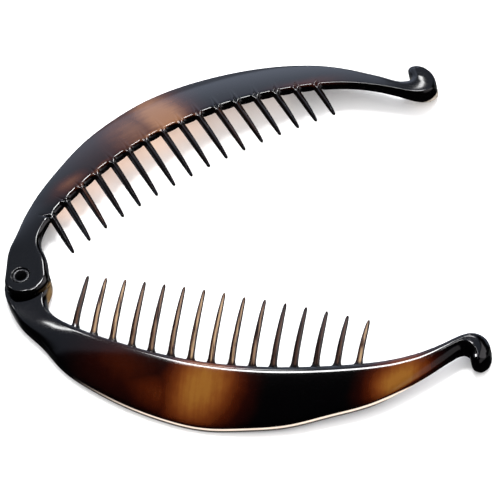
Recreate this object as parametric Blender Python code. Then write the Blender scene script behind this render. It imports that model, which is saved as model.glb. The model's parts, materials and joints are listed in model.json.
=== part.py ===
"""A banana hair clip lying open: two crescent comb arms of moulded plastic on one hinge rivet.

Each arm is drawn flat in its own plan, in millimetres, with the hinge axis at x = 0, y = 0. x runs along the
closed clip, y outwards from the closing line, and z up from the top of the hinge. The lower arm is the mirror
image of the upper one. Both arms are cut from one shallow dome, the shape that sits on the back of a head.
"""

import math

import bmesh
import bpy
from mathutils import Matrix

MM = 0.001

# Opening angle of each arm from the closing line, as the clip lies
OPEN_ANGLE = 17.08

# The dome that the outer faces follow
DOME_TOP = 3.28
DOME_CENTRE_X = 52.2
DOME_LONG = 0.00212
DOME_ACROSS = 0.004685

# Comb teeth
UPPER_TEETH = 16
UPPER_PITCH = 6.24
UPPER_FIRST_X = 17.7
UPPER_LEAN = 0.25
UPPER_TIP_SAG = (-0.6, 1.2)
LOWER_TEETH = 15
LOWER_PITCH = 6.3
LOWER_FIRST_X = 20.95
LOWER_LEAN = -1.35
LOWER_TIP_SAG = (0.0, 0.9)
TOOTH_DROP = 0.45
TOOTH_BURIED = 1.3

# Hinge: two laps, a hollow rivet and the round shoulder of the lower arm
UPPER_LAP_TOP = 0.0
UPPER_LAP_BOTTOM = -3.0
LOWER_LAP_TOP = -3.3
LOWER_LAP_BOTTOM = -6.3
LOWER_ROOT_TOP = -1.3
SHOULDER_RADIUS = 9.0
PIN_HOLE_RADIUS = 2.15
PIN_RADIUS = PIN_HOLE_RADIUS - 0.3
PIN_BORE_RADIUS = 1.4
FLANGE_RADIUS = 2.6
COUNTERSINK_RADIUS = 2.9
COUNTERSINK_DEPTH = 1.2
FLANGE_HEIGHT = 0.7
FLANGE_SUNK = 0.2

# Edges
OUTER_ROUND = 0.9
INNER_ROUND = 2.4
UNDER_ROUND = 0.5
NECK_OUTER_ROUND = 2.2
NECK_UNDER_ROUND = 1.5
INNER_THINNING = 0.8

# Bulge of the outer face, as a share of the width
FACE_CROWN = 0.02

# Plan stations from the round hinge end to the hook tip, each a line across the arm
STATION_COLUMNS = ("inner_x", "inner_y", "outer_x", "outer_y", "thick", "drop")
HINGE_END = (
    (2.0, -7.45, 0.6, -7.45, 1.8, 1.1),
    (4.1, -7.00, -1.5, -7.00, 2.7, 0.25),
    (5.8, -6.00, -3.2, -6.00, 3.0, 0.0),
    (7.4, -4.10, -4.8, -4.10, 3.0, 0.0),
    (8.3, -2.00, -5.5, -2.00, 3.0, 0.0),
    (9.1, 0.30, -5.4, 0.30, 3.0, 0.0),
)
UPPER_ROOT = (
    (9.8, 3.3, -4.1, 2.9, 3.0, 0.0),
    (10.0, 6.5, -1.9, 6.8, 3.0, 0.0),
    (11.0, 9.9, 0.7, 11.0, 3.1, 0.0),
    (13.3, 12.9, 4.65, 15.5, 3.3, 0.0),
    (17.5, 16.1, 10.2, 22.2, 3.5, 0.0),
    (23.5, 19.0, 18.25, 28.9, 3.6, 0.0),
    (31.0, 21.8, 28.0, 35.1, 3.6, 0.0),
)
LOWER_ROOT = (
    (9.3, 3.3, -5.2, 3.0, 5.0, 0.0),
    (8.9, 6.5, -3.8, 7.0, 5.0, 0.0),
    (9.9, 10.1, -1.2, 11.6, 5.0, 0.0),
    (12.6, 13.2, 2.4, 16.2, 5.0, 0.0),
    (17.5, 16.1, 9.0, 21.9, 4.6, 0.0),
    (23.5, 19.0, 16.4, 29.5, 4.0, 0.0),
    (31.0, 21.8, 26.2, 36.2, 3.6, 0.0),
)
UPPER_BAND_AND_NECK = (
    (41.0, 24.9, 39.2, 41.5, 3.6, 0.0),
    (52.0, 27.3, 51.4, 45.8, 3.6, 0.0),
    (63.0, 28.7, 63.0, 48.1, 3.6, 0.0),
    (75.0, 28.9, 75.6, 47.7, 3.6, 0.0),
    (87.0, 28.0, 88.5, 45.2, 3.6, 0.0),
    (98.0, 26.2, 101.1, 41.2, 3.6, 0.0),
    (108.0, 23.9, 112.2, 35.85, 3.7, -0.1),
    (117.5, 20.7, 122.0, 29.1, 4.0, -0.3),
    (125.0, 16.7, 129.3, 22.2, 4.3, -0.6),
    (129.8, 13.1, 132.9, 18.2, 4.7, -0.95),
    (134.0, 9.6, 135.7, 15.0, 5.3, -1.25),
)
LOWER_BAND_AND_NECK = (
    (41.0, 24.9, 38.9, 42.2, 3.6, 0.0),
    (52.0, 27.3, 51.3, 46.1, 3.6, 0.0),
    (63.0, 28.7, 63.0, 48.0, 3.6, 0.0),
    (75.0, 28.9, 75.5, 47.3, 3.6, 0.0),
    (87.0, 28.0, 88.4, 45.1, 3.6, 0.0),
    (98.0, 26.2, 100.9, 40.5, 3.6, 0.0),
    (108.0, 23.9, 112.0, 35.7, 3.6, -0.1),
    (117.5, 20.8, 121.9, 28.8, 3.8, -0.3),
    (125.0, 17.0, 129.1, 22.4, 4.2, -0.6),
    (130.0, 13.7, 132.8, 18.6, 4.5, -0.95),
    (134.2, 10.4, 135.8, 15.4, 5.0, -1.25),
)
UPPER_HOOK = (
    (137.5, 6.9, 137.7, 14.0, 5.9, -1.5),
    (141.1, 5.9, 138.8, 13.8, 6.4, -1.7),
    (144.6, 7.3, 139.5, 14.1, 6.7, -1.9),
    (146.2, 10.6, 139.8, 14.9, 6.8, -2.0),
    (146.6, 14.0, 139.8, 16.1, 6.6, -2.0),
    (145.9, 17.0, 140.1, 17.8, 5.8, -1.8),
    (144.7, 19.0, 140.8, 19.2, 4.4, -1.3),
    (143.4, 19.9, 142.1, 19.9, 1.8, -0.2),
)
LOWER_HOOK = (
    (137.6, 7.9, 137.5, 13.9, 5.7, -1.5),
    (140.9, 6.9, 138.5, 13.6, 6.3, -1.7),
    (143.8, 8.0, 139.2, 13.8, 6.7, -1.9),
    (145.4, 10.6, 139.7, 14.5, 6.8, -2.0),
    (145.6, 13.3, 139.9, 15.4, 6.6, -2.0),
    (145.0, 15.7, 140.2, 16.6, 5.8, -1.8),
    (143.8, 17.3, 140.9, 17.6, 4.4, -1.3),
    (142.7, 18.0, 142.0, 18.0, 1.8, -0.2),
)

# Tooth outline: distance from the band, width and thickness
TOOTH_COLUMNS = ("out", "width", "thick")
TOOTH_ROOT = (
    (-TOOTH_BURIED, 3.6, 1.9),
    (0.0, 3.6, 1.9),
    (0.5, 2.9, 1.9),
    (1.3, 2.45, 1.9),
)
TOOTH_TIP_WIDTH = 1.15
TOOTH_TIP_THICK = 1.05


def clear_scene():
    for obj in list(bpy.data.objects):
        bpy.data.objects.remove(obj, do_unlink=True)


def collection(name, hidden=False):
    made = bpy.data.collections.new(name)
    bpy.context.scene.collection.children.link(made)
    made.hide_render = hidden
    return made


def ease(value, low, high):
    """0 below low, 1 above high, and a smooth step between them."""
    t = min(max((value - low) / (high - low), 0.0), 1.0)
    return t * t * (3.0 - 2.0 * t)


def dome(x, y):
    return DOME_TOP - DOME_LONG * (x - DOME_CENTRE_X) ** 2 - DOME_ACROSS * y * y


def upper_face(x, y):
    """Height of the arm's outer face, level round the hinge and on the dome beyond it."""
    away = ease(math.hypot(x, y), 9.0, 30.0)
    return UPPER_LAP_TOP * (1.0 - away) + dome(x, y) * away


def lower_face(x, y):
    away = ease(math.hypot(x, y), 9.0, 30.0)
    return LOWER_ROOT_TOP * (1.0 - away) + dome(x, y) * away


def spline(rows, steps):
    """Rows with intermediate ones on a Catmull-Rom curve, steps to each span."""
    out = []
    last = len(rows) - 1
    for i in range(last):
        p0 = rows[max(i - 1, 0)]
        p1 = rows[i]
        p2 = rows[i + 1]
        p3 = rows[min(i + 2, last)]
        for k in range(steps):
            t = k / steps
            row = []
            for a, b, c, d in zip(p0, p1, p2, p3):
                row.append(
                    0.5 * (2 * b + (c - a) * t + (2 * a - 5 * b + 4 * c - d) * t * t
                           + (3 * b - a - 3 * c + d) * t ** 3)
                )
            out.append(tuple(row))
    out.append(rows[last])
    return out


def arc_drops(inset, drop, count):
    """Offsets in from an edge and drops below the face, round a quarter ellipse from wall to face."""
    out = []
    for k in range(count + 1):
        a = math.pi / 2 * k / count
        out.append((inset * (1 - math.cos(a)), drop * (1 - math.sin(a))))
    return out


def arm_section(row, face):
    """Closed loop of points across the arm, from the outer wall over the face to the inner wall and back."""
    ix, iy, ox, oy, thick, drop = row
    width = math.hypot(ix - ox, iy - oy)
    ex = (ix - ox) / width
    ey = (iy - oy) / width
    away = ease(math.hypot((ix + ox) / 2, (iy + oy) / 2), 10.0, 26.0)
    slim = (1.0 - ease(width, 5.5, 12.5)) * away
    outer = min(OUTER_ROUND + (NECK_OUTER_ROUND - OUTER_ROUND) * slim, 0.42 * width, 0.45 * thick)
    inner = min(INNER_ROUND, 0.42 * width)
    under = min(UNDER_ROUND + (NECK_UNDER_ROUND - UNDER_ROUND) * slim, 0.25 * width, 0.25 * thick)
    inner_wall = thick - INNER_THINNING * ease(width, 5.0, 12.0) * away
    edge_crown = FACE_CROWN * width * away
    inner_drop = min(INNER_ROUND, inner_wall - under - 0.25 - edge_crown)

    def point(across, below):
        x = ox + ex * across
        y = oy + ey * across
        return (x, y, face(x, y) - drop - below)

    def crowned(across, below):
        return point(across, below + edge_crown * (2.0 * across / width - 1.0) ** 2)

    loop = []
    for inset, below in arc_drops(outer, outer, 3):
        loop.append(crowned(inset, below))
    flat = width - outer - inner
    for k in (1, 2, 3):
        loop.append(crowned(outer + flat * k / 4, 0.0))
    for inset, below in reversed(arc_drops(inner, inner_drop, 4)):
        loop.append(crowned(width - inset, below))
    loop.append(point(width, inner_wall - under))
    loop.append(point(width - under, inner_wall))
    loop.append(point(width * 0.62, inner_wall + (thick - inner_wall) * 0.55))
    loop.append(point(width * 0.28, thick))
    loop.append(point(under, thick))
    loop.append(point(0.0, thick - under))
    return loop


def loft(name, sections, mirrored, home):
    """Solid skinned over closed sections of equal point count, with flat ends."""
    flip = -1.0 if mirrored else 1.0
    bm = bmesh.new()
    rings = []
    for section in sections:
        rings.append([bm.verts.new((x * MM, flip * y * MM, z * MM)) for x, y, z in section])
    count = len(rings[0])
    for a, b in zip(rings, rings[1:]):
        for k in range(count):
            n = (k + 1) % count
            bm.faces.new((a[k], a[n], b[n], b[k]))
    ends = [bm.faces.new(list(reversed(rings[0]))), bm.faces.new(rings[-1])]
    bmesh.ops.poke(bm, faces=ends)
    bmesh.ops.triangulate(bm, faces=bm.faces)
    bmesh.ops.recalc_face_normals(bm, faces=bm.faces)
    return mesh_object(name, bm, home)


def mesh_object(name, bm, home):
    mesh = bpy.data.meshes.new(name)
    bm.to_mesh(mesh)
    bm.free()
    obj = bpy.data.objects.new(name, mesh)
    home.objects.link(obj)
    return obj


def turned(name, profile, steps, home):
    """Solid turned about the hinge axis from a closed profile of (radius, height) in millimetres."""
    bm = bmesh.new()
    points = [bm.verts.new((r * MM, 0.0, z * MM)) for r, z in profile]
    edges = [bm.edges.new((a, b)) for a, b in zip(points, points[1:] + points[:1])]
    bmesh.ops.spin(
        bm, geom=points + edges, cent=(0, 0, 0), axis=(0, 0, 1), angle=math.tau, steps=steps, use_merge=True
    )
    bmesh.ops.remove_doubles(bm, verts=bm.verts, dist=1e-7)
    bmesh.ops.recalc_face_normals(bm, faces=bm.faces)
    return mesh_object(name, bm, home)


def cylinder(name, radius, low, high, steps, home):
    bm = bmesh.new()
    bmesh.ops.create_cone(
        bm, cap_ends=True, segments=steps, radius1=radius * MM, radius2=radius * MM, depth=(high - low) * MM
    )
    bmesh.ops.translate(bm, verts=bm.verts, vec=(0, 0, (high + low) / 2 * MM))
    return mesh_object(name, bm, home)


def tip_line(x):
    """Distance of the tooth tips from the closing line."""
    t = (x - 65.0) / 65.0
    return 5.53 + 6.71 * t - 2.45 * t * t


def inner_wall_at(rows, x):
    """Distance of the band's inner wall from the closing line at a tooth."""
    line = [(r[0], r[1]) for r in rows if r[0] > 12.0 and r[1] > 11.0]
    for (x1, y1), (x2, y2) in zip(line, line[1:]):
        if x1 <= x <= x2:
            return y1 + (y2 - y1) * (x - x1) / (x2 - x1)
    return line[-1][1]


def tooth_section(x, y, width, thick, sag, face):
    """Eight-sided section across a tooth, narrower on top, along its length in y."""
    top = face(x, y) - TOOTH_DROP - sag
    half = width / 2
    crown = half * 0.45
    return [
        (x - crown, y, top),
        (x + crown, y, top),
        (x + half * 0.88, y, top - thick * 0.22),
        (x + half, y, top - thick * 0.6),
        (x + half * 0.7, y, top - thick),
        (x - half * 0.7, y, top - thick),
        (x - half, y, top - thick * 0.6),
        (x - half * 0.88, y, top - thick * 0.22),
    ]


def teeth(name, rows, comb, face, mirrored, home):
    """All the teeth of one arm as a single helper mesh, leaning along the arm and sagging towards the tip."""
    count, first_x, pitch, lean, (sag_start, sag_end) = comb
    bm = bmesh.new()
    flip = -1.0 if mirrored else 1.0
    for i in range(count):
        x = first_x + pitch * i
        wall = inner_wall_at(rows, x + lean)
        tip = tip_line(x)
        tip_sag = sag_start + (sag_end - sag_start) * i / (count - 1)
        length = wall - tip
        stations = list(TOOTH_ROOT)
        root_width = stations[-1][1]
        root_thick = stations[-1][2]
        for part in (0.35, 0.7, 0.93):
            width = root_width + (TOOTH_TIP_WIDTH - root_width) * part
            thick = root_thick + (TOOTH_TIP_THICK - root_thick) * part
            stations.append((length * part, width, thick))
        stations.append((length, 0.5, 0.55))
        rings = []
        for out, width, thick in stations:
            share = out / length
            section = tooth_section(
                x + lean * (1.0 - share), wall - out, width, thick, tip_sag * share * share, face
            )
            rings.append([bm.verts.new((a * MM, flip * b * MM, c * MM)) for a, b, c in section])
        for a, b in zip(rings, rings[1:]):
            for k in range(8):
                n = (k + 1) % 8
                bm.faces.new((a[k], a[n], b[n], b[k]))
        bm.faces.new(list(reversed(rings[0])))
        bm.faces.new(rings[-1])
    bmesh.ops.triangulate(bm, faces=bm.faces)
    bmesh.ops.recalc_face_normals(bm, faces=bm.faces)
    return mesh_object(name, bm, home)


def boolean(obj, other, operation):
    mod = obj.modifiers.new(other.name, "BOOLEAN")
    mod.operation = operation
    mod.solver = "EXACT"
    mod.use_hole_tolerant = True
    mod.object = other
    other.hide_render = True
    other.display_type = "WIRE"


def material(name, colour, roughness):
    mat = bpy.data.materials.new(name)
    mat.use_nodes = True
    shader = mat.node_tree.nodes["Principled BSDF"]
    shader.inputs["Base Color"].default_value = (*colour, 1.0)
    shader.inputs["Roughness"].default_value = roughness
    shader.inputs["Metallic"].default_value = 0.0
    return mat


def smooth(obj, angle):
    obj.data.shade_smooth()
    obj.data.set_sharp_from_angle(angle=math.radians(angle))


def arm_rows(root, band, hook):
    return spline(HINGE_END + root + band + hook, 2)


def lower_thickness(row, face):
    """The lower arm's root reaches down to the underside of the hinge lap."""
    ix, iy, ox, oy, thick, drop = row
    near = 1.0 - ease(math.hypot((ix + ox) / 2, (iy + oy) / 2), 11.0, 27.0)
    full = face((ix + ox) / 2, (iy + oy) / 2) - LOWER_LAP_BOTTOM
    return (ix, iy, ox, oy, thick + (full - drop - thick) * near, drop)


def build():
    clear_scene()
    clip = collection("banana_hair_clip")
    helpers = collection("helpers", hidden=True)

    # Upper arm: hinge lap, band and hook in one sweep, comb teeth joined to the inner wall
    upper_rows = arm_rows(UPPER_ROOT, UPPER_BAND_AND_NECK, UPPER_HOOK)
    upper = loft("upper_arm", [arm_section(r, upper_face) for r in upper_rows], False, clip)
    upper_comb = (UPPER_TEETH, UPPER_FIRST_X, UPPER_PITCH, UPPER_LEAN, UPPER_TIP_SAG)
    upper_teeth = teeth("upper_teeth", upper_rows, upper_comb, upper_face, False, helpers)
    boolean(upper, upper_teeth, "UNION")
    eye = turned(
        "upper_eye",
        [(0.0, UPPER_LAP_BOTTOM - 1.0), (PIN_HOLE_RADIUS, UPPER_LAP_BOTTOM - 1.0),
         (PIN_HOLE_RADIUS, UPPER_LAP_TOP - COUNTERSINK_DEPTH),
         (COUNTERSINK_RADIUS, UPPER_LAP_TOP - COUNTERSINK_DEPTH),
         (COUNTERSINK_RADIUS, UPPER_LAP_TOP + 1.0), (0.0, UPPER_LAP_TOP + 1.0)],
        40, helpers,
    )
    boolean(upper, eye, "DIFFERENCE")

    # Lower arm: mirrored, with a thick root, a round shoulder seat and the lap under the upper arm
    thin_rows = arm_rows(LOWER_ROOT, LOWER_BAND_AND_NECK, LOWER_HOOK)
    lower_rows = [lower_thickness(r, lower_face) for r in thin_rows]
    lower = loft("lower_arm", [arm_section(r, lower_face) for r in lower_rows], True, clip)
    lower_comb = (LOWER_TEETH, LOWER_FIRST_X, LOWER_PITCH, LOWER_LEAN, LOWER_TIP_SAG)
    lower_teeth = teeth("lower_teeth", lower_rows, lower_comb, lower_face, True, helpers)
    boolean(lower, lower_teeth, "UNION")
    seat = cylinder("shoulder_seat", SHOULDER_RADIUS, LOWER_LAP_TOP, 5.0, 64, helpers)
    boolean(lower, seat, "DIFFERENCE")
    lower_eye = turned(
        "lower_eye",
        [(0.0, LOWER_LAP_BOTTOM - 1.0), (COUNTERSINK_RADIUS, LOWER_LAP_BOTTOM - 1.0),
         (COUNTERSINK_RADIUS, LOWER_LAP_BOTTOM + COUNTERSINK_DEPTH),
         (PIN_HOLE_RADIUS, LOWER_LAP_BOTTOM + COUNTERSINK_DEPTH),
         (PIN_HOLE_RADIUS, LOWER_LAP_TOP + 1.0), (0.0, LOWER_LAP_TOP + 1.0)],
        40, helpers,
    )
    boolean(lower, lower_eye, "DIFFERENCE")

    # Hinge pin: a hollow rivet with a flange sunk into each lap
    top = UPPER_LAP_TOP - FLANGE_SUNK
    bottom = LOWER_LAP_BOTTOM + FLANGE_SUNK
    pin = turned(
        "hinge_pin",
        [(PIN_BORE_RADIUS, bottom), (FLANGE_RADIUS - 0.2, bottom), (FLANGE_RADIUS, bottom + 0.2),
         (FLANGE_RADIUS, bottom + FLANGE_HEIGHT - 0.2), (PIN_RADIUS, bottom + FLANGE_HEIGHT),
         (PIN_RADIUS, top - FLANGE_HEIGHT), (FLANGE_RADIUS, top - FLANGE_HEIGHT + 0.2),
         (FLANGE_RADIUS, top - 0.2), (FLANGE_RADIUS - 0.2, top), (PIN_BORE_RADIUS, top)],
        32, clip,
    )

    shell = material("tortoiseshell_plastic_upper", (0.035, 0.022, 0.018), 0.16)
    shell_lower = material("tortoiseshell_plastic_lower", (0.10, 0.035, 0.012), 0.16)
    black = material("black_plastic_rivet", (0.012, 0.012, 0.014), 0.25)
    upper.data.materials.append(shell)
    lower.data.materials.append(shell_lower)
    pin.data.materials.append(black)
    for obj in (upper, lower, pin):
        smooth(obj, 35.0)

    # The clip lies on the rim of the hinge lap and on the two hooks
    tilt = rest_tilt(lower_rows)
    hinge = bpy.data.objects.new("hinge_axis", None)
    clip.objects.link(hinge)
    hinge.rotation_euler = (0.0, tilt, 0.0)
    for obj, angle in ((upper, OPEN_ANGLE), (lower, -OPEN_ANGLE), (pin, 0.0)):
        obj.parent = hinge
        obj.rotation_euler = (0.0, 0.0, math.radians(angle))
    for obj, owner in (
        (upper_teeth, upper), (eye, upper), (lower_teeth, lower), (seat, lower), (lower_eye, lower)
    ):
        obj.parent = owner
    bpy.context.view_layer.update()
    low, high = bounds((upper, lower, pin))
    hinge.location = (-(low[0] + high[0]) / 2, -(low[1] + high[1]) / 2, -low[2])
    bpy.context.view_layer.update()


def rest_tilt(rows):
    """Angle about y that brings the hook and the rim of the hinge lap level, found by halving."""
    points = []
    for row in rows:
        for x, y, z in arm_section(row, lower_face):
            a = math.radians(OPEN_ANGLE)
            points.append((x * math.cos(a) - y * math.sin(a), z))
    hinge_side = [p for p in points if p[0] < 40.0]
    hook_side = [p for p in points if p[0] >= 40.0]

    def lowest(group, angle):
        return min(-x * math.sin(angle) + z * math.cos(angle) for x, z in group)

    low = 0.0
    high = -0.3
    for _ in range(60):
        mid = (low + high) / 2
        if lowest(hook_side, mid) < lowest(hinge_side, mid):
            low = mid
        else:
            high = mid
    return mid


def bounds(objects):
    """World box of the finished solids."""
    graph = bpy.context.evaluated_depsgraph_get()
    low = [1e9] * 3
    high = [-1e9] * 3
    for obj in objects:
        done = obj.evaluated_get(graph)
        for vertex in done.data.vertices:
            p = done.matrix_world @ vertex.co
            for k in range(3):
                low[k] = min(low[k], p[k])
                high[k] = max(high[k], p[k])
    return low, high


build()
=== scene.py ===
import json
import math

import bmesh
import bpy
import numpy as np
from mathutils import Matrix


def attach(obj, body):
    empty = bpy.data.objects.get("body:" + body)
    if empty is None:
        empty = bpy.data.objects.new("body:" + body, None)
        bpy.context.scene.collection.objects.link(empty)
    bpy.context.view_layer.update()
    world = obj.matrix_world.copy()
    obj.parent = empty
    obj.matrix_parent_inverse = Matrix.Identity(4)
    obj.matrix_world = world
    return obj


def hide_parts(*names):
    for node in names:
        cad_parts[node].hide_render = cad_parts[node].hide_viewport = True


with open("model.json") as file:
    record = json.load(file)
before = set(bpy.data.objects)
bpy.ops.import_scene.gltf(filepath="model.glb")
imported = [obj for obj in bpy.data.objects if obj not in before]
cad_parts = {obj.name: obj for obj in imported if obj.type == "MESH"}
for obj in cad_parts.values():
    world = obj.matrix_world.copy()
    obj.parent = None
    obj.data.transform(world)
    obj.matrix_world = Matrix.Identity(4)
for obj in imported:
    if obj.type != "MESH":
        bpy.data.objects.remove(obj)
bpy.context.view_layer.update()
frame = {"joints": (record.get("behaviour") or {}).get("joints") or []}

# Where the clip lies. Every piece is drawn in millimetres round the hinge axis, as in the part's own
# drawing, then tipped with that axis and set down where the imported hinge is.
hinge = frame["joints"][0]
hinge_at = np.array(hinge["pos_m"])
hinge_axis = np.array(hinge["axis"])
open_angle = math.radians(17.08)


def laid_down(x, y, z, turn=0.0):
    """Drawing millimetres to world metres: a turn about the hinge axis, a tip about y, then a shift."""
    px = x * math.cos(turn) - y * math.sin(turn)
    py = x * math.sin(turn) + y * math.cos(turn)
    side, up = hinge_axis[0], hinge_axis[2]
    world = np.stack([px * up + z * side, py, z * up - px * side], -1)
    return world / 1000.0 + hinge_at


# Upper arm. One injection moulding of dark tortoiseshell plastic: a flat lap round the rivet, a slim neck,
# a crescent band curved like the back of a head, a comb on its inner edge and a hooked end. The band's
# plan is an outline with a spine inside it, and the skin runs from the spine over the edge and back.
upper_stations = np.array([
    # inner x, inner y, outer x, outer y, thickness, drop
    (2.0, -7.45, 0.6, -7.45, 3.0, 0.0),
    (4.1, -7.00, -1.5, -7.00, 3.0, 0.0),
    (5.8, -6.00, -3.2, -6.00, 3.0, 0.0),
    (7.4, -4.10, -4.8, -4.10, 3.0, 0.0),
    (8.3, -2.00, -5.5, -2.00, 3.0, 0.0),
    (9.1, 0.30, -5.4, 0.30, 3.0, 0.0),
    (9.8, 3.3, -4.1, 2.9, 3.0, 0.0),
    (10.0, 6.5, -1.9, 6.8, 3.0, 0.0),
    (11.0, 9.9, 0.7, 11.0, 3.1, 0.0),
    (13.3, 12.9, 4.65, 15.5, 3.3, 0.0),
    (17.5, 16.1, 10.2, 22.2, 3.5, 0.0),
    (23.5, 19.0, 18.25, 28.9, 3.6, 0.0),
    (31.0, 21.8, 28.0, 35.1, 3.6, 0.0),
    (41.0, 24.9, 39.2, 41.5, 3.6, 0.0),
    (52.0, 27.3, 51.4, 45.8, 3.6, 0.0),
    (63.0, 28.7, 63.0, 48.1, 3.6, 0.0),
    (75.0, 28.9, 75.6, 47.7, 3.6, 0.0),
    (87.0, 28.0, 88.5, 45.2, 3.6, 0.0),
    (98.0, 26.2, 101.1, 41.2, 3.6, 0.0),
    (108.0, 23.9, 112.2, 35.85, 3.7, -0.1),
    (117.5, 20.7, 122.0, 29.1, 4.0, -0.3),
    (125.0, 16.7, 129.3, 22.2, 4.3, -0.6),
    (129.8, 13.1, 132.9, 18.2, 4.7, -0.95),
    (134.0, 9.6, 135.7, 15.0, 5.3, -1.25),
    (137.5, 6.9, 137.7, 14.0, 5.9, -1.5),
    (141.1, 5.9, 138.8, 13.8, 6.4, -1.7),
    (144.6, 7.3, 139.5, 14.1, 6.7, -1.9),
    (146.2, 10.6, 139.8, 14.9, 6.8, -2.0),
    (146.6, 14.0, 139.8, 16.1, 6.8, -2.0),
    (145.9, 17.0, 140.1, 17.8, 6.6, -2.0),
    (144.7, 19.0, 140.8, 19.2, 6.2, -1.8),
    (143.4, 19.9, 142.1, 19.9, 6.0, -1.7),
])
upper_comb = dict(
    count=16, first=17.7, pitch=6.24, lean=0.25, sag=(-0.6, 1.2), longer=([0, 15], [0.0, 0.0])
)
upper_level = 0.0
crest_x, crest_height = 52.2, 3.28

# Rows of the plan between which the spine runs, and the comb, and the row where the hook's shaft begins
spine_from, spine_to = 4, 29
comb_from, comb_to, shaft_from = 9.0, 22.0, 20.0
no_tooth = -9.0


def smooth_curve(knots, values, closed):
    """Cubic spline through the values. Its second slopes at the knots solve a three-term equation each."""
    gap = np.diff(knots)
    n = len(knots)
    rows = np.zeros((n, n))
    right = np.zeros((n,) + values.shape[1:])
    inner = np.arange(1, n - 1)
    rows[inner, inner - 1] = gap[:-1]
    rows[inner, inner] = 2 * (gap[:-1] + gap[1:])
    rows[inner, inner + 1] = gap[1:]
    slope = np.diff(values, axis=0) / gap[:, None]
    right[1:-1] = 6 * np.diff(slope, axis=0)
    rows[0, 0] = rows[-1, -1] = 1.0
    if closed:
        rows[0] = rows[-1] = 0.0
        rows[0, 0], rows[0, -1] = 1.0, -1.0
        rows[-1, 0], rows[-1, 1] = 2 * gap[0], gap[0]
        rows[-1, -1], rows[-1, -2] = 2 * gap[-1], gap[-1]
        right[-1] = 6 * (slope[0] - slope[-1])
    bend = np.linalg.solve(rows, right)

    def at(t):
        k = np.clip(np.searchsorted(knots, t, side="right") - 1, 0, n - 2)
        h = gap[k][..., None]
        a = ((knots[k + 1] - t) / gap[k])[..., None]
        b = 1.0 - a
        curve = a * values[k] + b * values[k + 1]
        return curve + ((a**3 - a) * bend[k] + (b**3 - b) * bend[k + 1]) * h * h / 6

    return at


def ease(value, low, high):
    """0 below low, 1 above high, and the smooth step 3t^2 - 2t^3 between them."""
    t = np.clip((value - low) / (high - low), 0.0, 1.0)
    return t * t * (3 - 2 * t)


def head_curve(x, y, level):
    """Height of the outer face: level round the hinge, and from 9 to 30 mm out easing into a shallow
    paraboloid over the head, which falls with the squares of the distances along and across from its
    crest."""
    away = ease(np.hypot(x, y), 9.0, 30.0)
    dome = crest_height - 0.00212 * (x - crest_x) ** 2 - 0.004685 * y * y
    return level * (1 - away) + dome * away


def tooth_half(share):
    """Half the width of a tooth, narrowing with the share of its length and faster towards the tip."""
    return 1.16 - 0.34 * share - 0.34 * share**4


def tooth_depth(share):
    """Thickness of a tooth, going down in step with the share of its length."""
    return 1.9 - 0.85 * share


def tip_line(x):
    """How far out from the middle of the clip the tips of a comb lie: a parabola along the arm."""
    reach = (x - 65.0) / 65.0
    return 5.53 + 6.71 * reach - 2.45 * reach**2


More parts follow.
